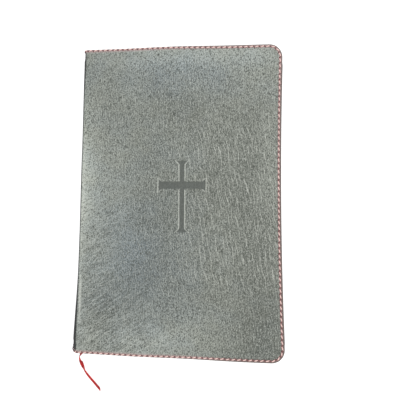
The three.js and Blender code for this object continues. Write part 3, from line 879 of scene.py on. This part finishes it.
def make_ribbon_tail():
    route = np.array(RIBBON_EXIT) + smooth_route(RIBBON_ROUTE, RIBBON_STEPS) * MM
    run = along(route)
    length = run[-1]
    shares, degrees = zip(*RIBBON_TWIST)
    turns = np.radians(np.interp(run / length, shares, degrees))
    upper, lower, uvs = [], [], []
    for i, point in enumerate(route):
        ahead, wide, out = ribbon_directions(route, i, turns[i])
        slant = RIBBON_END_SLANT * smooth_step(run[i] / length, 0.93, 1)
        for place in RIBBON_PLACES:
            centre = Vector(point) + wide * place * RIBBON_WIDTH / 2 + ahead * slant * place
            thicker = SELVAGE if abs(place) > 0.8 else 1.0
            cupped = out * (RIBBON_CUP * place**2)
            upper.append(centre + cupped + out * RIBBON_THICKNESS / 2 * thicker)
            lower.append(centre + cupped - out * RIBBON_THICKNESS / 2 * thicker)
            uvs.append((run[i] / length, place / 2 + 0.5))
    shape = (len(route), len(RIBBON_PLACES), 3)
    piece = closed_sheet("ribbon_end", np.array(upper).reshape(shape), np.array(lower).reshape(shape))
    set_uvs(piece, uvs + uvs)
    dress(piece, "ribbon", slot="ribbon")
    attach(piece, "text_block")
    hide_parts("ribbon_tail")


def set_uvs(piece, uvs):
    """UVs from one pair of numbers for each vertex."""
    layer = piece.data.uv_layers.new(name="UVMap")
    for loop in piece.data.loops:
        layer.data[loop.index].uv = uvs[loop.vertex_index]


make_ribbon_tail()

# ---------- Covers ----------

# The line along which the back cover's leather would bend; the front cover's is its mirror image. No bend is
# made along it.
BEND_START = (-75.6 * MM, 0, 2.3 * MM)
BEND_END = (-69.8 * MM, 0, -0.2 * MM)


def bend_with(piece, side):
    """Bakes the piece's place into its mesh. The ends of a bend at the shoulder are worked out, but nothing
    bends.
    """
    ends = [BEND_START, BEND_END]
    if side == "front":
        ends = [(x, y, BOOK_TOP - z) for x, y, z in ends]
    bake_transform(piece)


def make_covers():
    for side, seed in (("front", 3.1), ("back", 8.6)):
        piece = make_leather(side, seed)
        dress(piece, "cover_leather", slot="cover_leather")
        bend_with(piece, side)
        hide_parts(f"{side}_cover_leather")
        if side == "front":
            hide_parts("spine_leather")


make_covers()


def make_lining(side):
    """Lining leather, with rounded edges and a dip along its seam."""
    front = side == "front"
    start = COVER_START_X - SHOULDER_X
    corner_start = COVER_WIDTH - CORNER_RADIUS
    lines = spaced((start, corner_start, 3 * MM))
    angles = np.radians(np.arange(5, 91, 5))
    across = np.concatenate([lines, corner_start + CORNER_RADIUS * np.sin(angles)])
    share = y_lines(-20 * MM, 20 * MM, 3 * MM) / COVER_HALF
    y = np.where(share > 0, share * edge_y(across, 1)[:, None], -share * edge_y(across, -1)[:, None])
    across = np.repeat(across[:, None], len(share), 1)
    edge = from_edge(across, y)
    x = SHOULDER_X + across - drawn_in(across, y)
    inner = np.stack([x, y, lining_low.z + edge_rounding(edge) + seam_dip(across, edge)], -1)
    outer = np.stack([x, y, lining_high.z + 0 * x], -1)
    if front:
        piece = closed_sheet("front_lining", outer[::-1], inner[::-1])
    else:
        piece = closed_sheet("back_lining", turned_over(outer), turned_over(inner))
    dress(piece, "lining_leather", slot="lining_leather")
    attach(piece, f"{side}_cover")
    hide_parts(f"{side}_cover_lining", f"{side}_cover_card")


for side in ("front", "back"):
    make_lining(side)

# ---------- Seams ----------

STITCH_PITCH = 4.05 * MM
THREAD_RADIUS = 0.5 * MM
STITCH_RINGS = 9
STITCH_SIDES = 8
STITCH_SUNK = 0.15 * MM
SPINE_STITCHES = 13.5 * MM  # the length at each end whose stitches take the darker thread, as painted shade
SEAM_THREADS = ("thread_pale", "thread_dark", "thread_unworn")
DARK, SHADED_THREAD = 1, 2  # places among SEAM_THREADS


def seam_line(start_across):
    """The seam's line as (across, y) places a tenth of a millimetre apart: from the spine along the
    tail, up the fore edge and back along the head."""
    step = 0.1 * MM
    inner = CORNER_RADIUS - SEAM_INSET_FORE
    corner_across = COVER_WIDTH - CORNER_RADIUS
    corner_y = COVER_HALF - CORNER_RADIUS
    run = np.arange(start_across, corner_across, step)
    tail = np.stack([run, edge_y(run, -1) + seam_inset(run)], -1)
    head = np.stack([run, edge_y(run, 1) - seam_inset(run)], -1)[::-1]
    angles = np.linspace(0, math.pi / 2, round(inner * math.pi / 2 / step))
    low = np.stack([corner_across + inner * np.sin(angles), -corner_y - inner * np.cos(angles)], -1)
    high = low[::-1] * (1, -1)
    low[:, 1] += tail[-1, 1] - low[0, 1]
    high[:, 1] += head[0, 1] - high[-1, 1]
    up = np.arange(low[-1, 1], high[0, 1], step)
    fore = np.stack([np.full_like(up, corner_across + inner), up], -1)
    return np.concatenate([tail, low, fore, high, head])


def stitch_shapes(k, pitch):
    """A pale stitch and the dark thread that shows after it, each as places along the line from
    the stitch's middle, places beside the line, height and radius."""
    wander = 0.12 * MM * noise.noise((k * 0.37, 2.3, 0))
    lift = 0.05 * MM * noise.noise((k * 0.61, 7.3, 0))
    beside = 0.4 * MM
    pale = (-0.36 * pitch, 0.36 * pitch, wander - beside, wander + beside, 0.42 * MM + lift, THREAD_RADIUS)
    dark = (0.3 * pitch, 0.7 * pitch, 0.65 * MM, -0.3 * MM, 0.46 * MM, 1.15 * THREAD_RADIUS)
    return pale, dark


def stitch_rings(line, middle_run, sense, start, end, side_start, side_end, height, radius):
    """One stitch's rings of points on the leather, as (across, y, height) triples. sense is -1
    where the seam's sides are exchanged."""
    run = along(line)
    rings = []
    for i in range(STITCH_RINGS):
        t = i / (STITCH_RINGS - 1)
        place = middle_run + start + (end - start) * t
        k = int(np.clip(np.searchsorted(run, place), 1, len(line) - 2))
        ahead = line[k + 1] - line[k - 1]
        ahead = ahead / np.linalg.norm(ahead)
        side = np.array([-ahead[1], ahead[0]])
        across_line = sense * (side_start + (side_end - side_start) * t)
        arch = math.sin(math.pi * t)
        thick = radius * (0.25 + 0.75 * arch**0.5)
        middle = line[k] + side * across_line
        ring = []
        for j in range(STITCH_SIDES):
            angle = 2 * math.pi * j / STITCH_SIDES
            flat = middle + side * thick * math.cos(angle)
            ring.append((flat[0], flat[1], height * arch - STITCH_SUNK + 0.7 * thick * math.sin(angle)))
        rings.append(ring)
    return rings


def stitch_faces(first):
    """The faces of the stitch whose rings start at vertex first: its side, and its two ends."""
    faces = []
    for i in range(STITCH_RINGS - 1):
        for j in range(STITCH_SIDES):
            a = first + i * STITCH_SIDES + j
            b = first + i * STITCH_SIDES + (j + 1) % STITCH_SIDES
            faces.append((a, b, b + STITCH_SIDES, a + STITCH_SIDES))
    last = first + (STITCH_RINGS - 1) * STITCH_SIDES
    faces.append(tuple(first + j for j in reversed(range(STITCH_SIDES))))
    faces.append(tuple(last + j for j in range(STITCH_SIDES)))
    return faces


def make_seam(name, start_across, place_on, turned, bodies, replaced):
    """A seam of slanted pale stitches with the dark thread showing between them."""
    line = seam_line(start_across)
    total = along(line)[-1]
    count = round(total / STITCH_PITCH)
    pitch = total / count
    sense = -1 if turned else 1
    triples, faces, uvs, shades = [], [], [], []
    for k in range(count):
        middle = (k + 0.5) * pitch
        # Stitches on the spine, near the ends, take the darker thread as painted shade.
        on_spine = abs(middle - total / 2) > total / 2 - SPINE_STITCHES and start_across < 0
        for shade, shape in enumerate(stitch_shapes(k, pitch)):
            if shade == DARK and k == count - 1:
                continue
            stitch = stitch_faces(len(triples))
            faces.extend(stitch)
            shades.extend([SHADED_THREAD if on_spine else shade] * len(stitch))
            for i, ring in enumerate(stitch_rings(line, middle, sense, *shape)):
                triples.extend(ring)
                uvs.extend((i / (STITCH_RINGS - 1), j / STITCH_SIDES) for j in range(STITCH_SIDES))
    triples = np.array(triples)
    piece = mesh_object(name, place_on(triples[:, 0], triples[:, 1], triples[:, 2]), faces)
    set_uvs(piece, uvs)
    dress(piece, *SEAM_THREADS, slot="seam_thread")
    piece.data.polygons.foreach_set("material_index", shades)
    if len(bodies) == 2:
        bend_with(piece, replaced[0].split("_")[0])
    else:
        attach(piece, bodies[0])
    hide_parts(*replaced)


def on_front(across, y, height):
    return leather_place(across, y, SEAM_DIP, height, True)


def on_back(across, y, height):
    return leather_place(across, y, SEAM_DIP, height, False)


def in_front_lining(across, y, height):
    x = SHOULDER_X + across - drawn_in(across, y)
    return np.stack([x, y, lining_low.z + SEAM_DIP - height], -1)


def in_back_lining(across, y, height):
    return turned_over(in_front_lining(across, y, height))


LINING_SEAM_START = COVER_START_X - SHOULDER_X + 0.5 * MM
make_seam(
    "front_seam_stitches", -QUARTER, on_front, False, ("text_block", "front_cover"),
    ("front_seam_thread", "spine_head_thread"),
)
make_seam(
    "back_seam_stitches", -QUARTER, on_back, True, ("text_block", "back_cover"),
    ("back_seam_thread", "spine_tail_thread"),
)
make_seam(
    "front_lining_stitches", LINING_SEAM_START, in_front_lining, True, ("front_cover",),
    ("front_lining_thread",),
)
make_seam(
    "back_lining_stitches", LINING_SEAM_START, in_back_lining, False, ("back_cover",),
    ("back_lining_thread",),
)

# ---------- Leaves ----------

LEAVES_BENT = 36 * MM  # from the folds, over which open leaves curve
BLOCK_CORNER = 6.5 * MM
FOLD_RISE = (first_low.z + first_high.z) / 2 - MIDDLE_Z
HEAD_FOLD_X = -71.9 * MM  # all the folds, at the head, where the spine is flattest


def fold_x(z, y):
    """Where the leaves' folds are: round at the tail, and in one flat face at the head."""
    share = (z - MIDDLE_Z) / FOLD_RISE
    round_x = middle_low.x + (first_low.x - middle_low.x) * share**2
    return HEAD_FOLD_X + (round_x - HEAD_FOLD_X) * towards_tail(y)


def leaf_outline(x0, x1, half):
    """One half of a leaf's outline, from the fold to the middle of the fore edge: x and y."""
    bend = spaced((x0, x0 + LEAVES_BENT, 1.5 * MM), (x0 + LEAVES_BENT, x1 - BLOCK_CORNER, 12 * MM))
    angles = np.radians(np.arange(10, 91, 10))
    x = np.concatenate([bend, x1 - BLOCK_CORNER + BLOCK_CORNER * np.sin(angles)])
    y = np.concatenate([np.full(len(bend), half), half - BLOCK_CORNER + BLOCK_CORNER * np.cos(angles)])
    return x, y


def make_leaves(name, low, high, x0, layers, seed):
    """A stack of leaves as one closed body, with the leaves' edges as fine steps. x0 is the place
    of its folds at the tail and at the head."""
    half = high.y
    x, y = leaf_outline(min(x0), high.x, half)
    levels, insets = [], []
    for k in range(layers):
        z0 = low.z + (high.z - low.z) * k / layers
        z1 = low.z + (high.z - low.z) * (k + 1) / layers
        inset = 0.04 * MM + 0.11 * MM * abs(noise.noise((k * 0.73, seed, 0.5)))
        levels += [z0, (z0 + z1) / 2, z1]
        insets += [inset + 0.05 * MM, inset, inset + 0.05 * MM]
    radius = (high.z - low.z) / 2
    middle = (high.z + low.z) / 2
    points = []
    count = len(x)
    centre_x = (min(x0) + high.x) / 2
    for z, inset in zip(levels, insets):
        shrink_x = 1 - inset / (high.x - centre_x)
        ring_y = y * (1 - inset / half)
        rounding = radius - math.sqrt(max(radius**2 - (z - middle) ** 2, 0))
        for side, fold in zip((-1, 1), x0):
            least = fold + rounding + 0.02 * MM * np.arange(count)
            ring_x = np.maximum(centre_x + (x - centre_x) * shrink_x, least)
            ring_x[0] = least[0]
            half_ring = [(a, side * b, z) for a, b in zip(ring_x, ring_y)]
            points += half_ring if side < 0 else half_ring[::-1]
    ring = 2 * count
    faces = []
    for level in range(len(levels) - 1):
        for i in range(ring):
            a, b = level * ring + i, level * ring + (i + 1) % ring
            faces.append((a, b, b + ring, a + ring))
    top = (len(levels) - 1) * ring
    for i in range(count - 1):
        far = ring - 1 - i
        faces.append((i, far, far - 1, i + 1))
        faces.append((top + i, top + i + 1, top + far - 1, top + far))
    return mesh_object(name, points, faces, smooth=False)


def make_text_block():
    bodies = frame["bodies"]
    signatures = sorted(n for n in frame["nodes"] if n.startswith("signature_") and not n.endswith("_fold"))
    for index, node_name in enumerate(signatures):
        low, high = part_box(node_name)
        fold = node_name + "_fold"
        middle = (low.z + high.z) / 2
        x0 = (fold_x(middle, -high.y), fold_x(middle, high.y))
        piece = make_leaves(node_name.replace("signature", "leaves"), low, high, x0, 5, index + 0.3)
        dress(piece, "paper", slot="paper")
        body = node_name.replace("signature", "leaves")
        if body in bodies:
            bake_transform(piece)
            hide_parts(node_name, fold)
        else:
            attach(piece, "text_block")
            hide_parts(node_name)


make_text_block()


def make_flyleaves():
    low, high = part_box("front_flyleaf")
    piece = make_leaves("front_free_leaf", low, high, (low.x, low.x), 2, 40.2)
    dress(piece, "paper", slot="paper")
    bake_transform(piece)
    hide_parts("front_flyleaf")
    low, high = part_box("back_flyleaf")
    piece = make_leaves("back_free_leaf", low, high, (low.x, low.x), 2, 41.2)
    dress(piece, "paper", slot="paper")
    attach(piece, "back_cover")
    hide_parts("back_flyleaf")


make_flyleaves()

# ---------- Headbands ----------

BAND_TURNS = 26
BAND_GAP = 0.1 * MM  # to the line of the folds


def make_headband(name):
    """A cord wound with silk in two colours, along the round of the folds."""
    low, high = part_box(name)
    rise = (high.z - low.z) / 2
    middle_z = (high.z + low.z) / 2
    radius = (high.y - low.y) / 2
    depth = 0.6 * MM
    rings, sides = BAND_TURNS * 6, 12
    y = (low.y + high.y) / 2
    points, faces, uvs = [], [], []
    for i in range(rings + 1):
        t = -1 + 2 * i / rings
        z = middle_z + rise * t
        centre = Vector((fold_x(z, y) + depth + BAND_GAP, y, z))
        swell = 0.9 + 0.1 * abs(math.sin(math.pi * BAND_TURNS * i / rings))
        if i in (0, rings):
            swell *= 0.5
        for j in range(sides):
            angle = 2 * math.pi * j / sides
            out = Vector((depth * math.cos(angle), radius * math.sin(angle), 0)) * swell
            points.append(centre + out)
            uvs.append((BAND_TURNS * i / rings, j / sides))
    for i in range(rings):
        for j in range(sides):
            a, b = i * sides + j, i * sides + (j + 1) % sides
            faces.append((a, b, b + sides, a + sides))
    faces.append(tuple(range(sides))[::-1])
    faces.append(tuple(rings * sides + j for j in range(sides)))
    piece = mesh_object(name + "_silk", points, faces)
    set_uvs(piece, uvs)
    dress(piece, "silk", slot="silk")
    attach(piece, "text_block")
    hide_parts(name)


for name in ("headband", "tailband"):
    make_headband(name)

# ---------- Layers of the spine, and the held part of the ribbon ----------

LAYER_THICKNESS = {
    "sewing_tape_1": 0.3,
    "sewing_tape_2": 0.3,
    "sewing_tape_3": 0.3,
    "kettle_stitch_head": 0.22,
    "kettle_stitch_tail": 0.22,
    "spine_mull": 0.2,
    "spine_lining_paper": 0.22,
    "spine_inlay": 0.6,
}  # millimetres
LAYERS_DEPTH = 1.75 * MM  # of all of them, where there is room
LAYERS_RISE = 8.2 * MM
HELD_RIBBON_UNIT = 47 * MM  # of the ribbon for one unit of U, as on its free end


def leather_inside_x(z, y):
    """The inner face of the leather round the spine."""
    sine = (z - MIDDLE_Z) / (MIDDLE_Z - LEATHER)
    return SHOULDER_X + shoulder_in(y) - (spine_bulge(y) - LEATHER) * np.sqrt(1 - sine**2)


def make_spine_layer(name, thickness):
    """A layer on the folds of the leaves, thinner where the flattened spine presses it."""
    low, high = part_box(name)
    outer_offset = middle_low.x - low.x
    z = MIDDLE_Z + LAYERS_RISE * np.linspace(-1, 1, 21)
    y = spaced((low.y, high.y, 4 * MM))
    z, y = np.meshgrid(z, y, indexing="ij")
    fold = fold_x(z, y)
    squeeze = np.clip((fold - leather_inside_x(z, y)) / LAYERS_DEPTH, 0, 1)
    sheets = [
        np.stack([fold - offset * squeeze, y, z], -1)
        for offset in (outer_offset, outer_offset - thickness)
    ]
    piece = closed_sheet(name + "_layer", sheets[1], sheets[0])
    dress(piece, SLOT_OF[name], slot=SLOT_OF[name])
    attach(piece, "text_block")
    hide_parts(name)


def make_held_ribbon():
    """Up the spine under the mull, over the headband, and down between the leaves to their tail."""
    low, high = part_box("ribbon_marker")
    half, flat = RIBBON_WIDTH / 2, 0.1 * MM
    start = high.y - 11 * MM
    into = RIBBON_EXIT[0] - fold_x(MIDDLE_Z, low.y)
    upright, level = Vector((0, 0, half)), Vector((half, 0, 0))
    rows = []
    on_folds = 0.17 * MM
    for y in np.linspace(start, high.y - 0.5 * MM, 6):
        middle = Vector((fold_x(MIDDLE_Z, y) - on_folds, y, MIDDLE_Z))
        rows.append((middle, upright, Vector((-flat, 0, 0))))
    head_x = fold_x(MIDDLE_Z, high.y)
    for t in np.linspace(0, 1, 6)[1:]:
        wide = upright.lerp(level, t)
        x = head_x + t * into
        out = Vector((0, flat, 0)).lerp(Vector((0, 0, flat)), t)
        rows.append((Vector((x, high.y - flat, MIDDLE_Z)), wide, out))
    for y in np.linspace(high.y - 1 * MM, low.y, 40):
        rows.append((Vector((fold_x(MIDDLE_Z, y) + into, y, MIDDLE_Z)), level, Vector((0, 0, flat))))
    outer = [[middle + wide * side + out for side in (-1, 1)] for middle, wide, out in rows]
    inner = [[middle + wide * side - out for side in (-1, 1)] for middle, wide, out in rows]
    piece = closed_sheet("ribbon_held", np.array(outer), np.array(inner))
    run = along(np.array([middle for middle, _, _ in rows])) / HELD_RIBBON_UNIT
    uvs = [(length, side) for length in run for side in (0, 1)]
    set_uvs(piece, uvs + uvs)
    dress(piece, "ribbon", slot="ribbon")
    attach(piece, "text_block")
    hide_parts("ribbon_marker")


SLOT_OF = {p["node"]: p["material_slot"] for p in frame["record"]["subparts"]}
for name, thickness in LAYER_THICKNESS.items():
    make_spine_layer(name, thickness * MM)
make_held_ribbon()

# ---------- Model nodes that stay ----------

for name, piece in frame["nodes"].items():
    if SLOT_OF[name] in MATERIALS:
        dress(piece, SLOT_OF[name])

# ---------- Floor and light ----------


FLOOR_REACH = 3.0
FLOOR_Z = -0.3 * MM
FLOOR_GLOW = 0.95
WORLD_STRENGTH = 0.75
KEY_PLACE = (0.40, 0.05, 1.0)
WINDOW_PLACE = (-0.14, 0.30, 0.85)
WINDOW_COLOR = (0.75, 0.85, 1.0)


def make_floor():
    """A white floor that glows a little, so that it stays white under soft shadows."""
    signs = ((-1, -1), (1, -1), (1, 1), (-1, 1))
    corners = [(x * FLOOR_REACH, y * FLOOR_REACH, FLOOR_Z) for x, y in signs]
    floor = mesh_object("floor", corners, [(0, 1, 2, 3)])
    material, tree = new_material("floor")
    glow = {"Emission_Color": (1, 1, 1, 1), "Emission_Strength": FLOOR_GLOW}
    finish_material(tree, (0.25, 0.25, 0.25), 0.9, Specular_IOR_Level=0.0, **glow)
    floor.data.materials.append(material)


def area_light(name, place, size, power, color=(1, 1, 1)):
    """A round light of some watts that points at the book."""
    data = bpy.data.lights.new(name, "AREA")
    data.shape = "DISK"
    data.size = size
    data.energy = power
    data.color = color
    light = bpy.data.objects.new(name, data)
    light.location = place
    light.rotation_euler = (-Vector(place)).to_track_quat("-Z", "Y").to_euler()
    bpy.context.scene.collection.objects.link(light)


def make_world():
    world = bpy.data.worlds.new("world")
    world.use_nodes = True
    background = world.node_tree.nodes["Background"]
    background.inputs["Color"].default_value = (1, 1, 1, 1)
    background.inputs["Strength"].default_value = WORLD_STRENGTH
    bpy.context.scene.world = world


make_floor()
make_world()
area_light("key", KEY_PLACE, 0.4, 6.5)
area_light("window", WINDOW_PLACE, 0.25, 1.5, WINDOW_COLOR)
bpy.context.scene.view_settings.view_transform = "Standard"
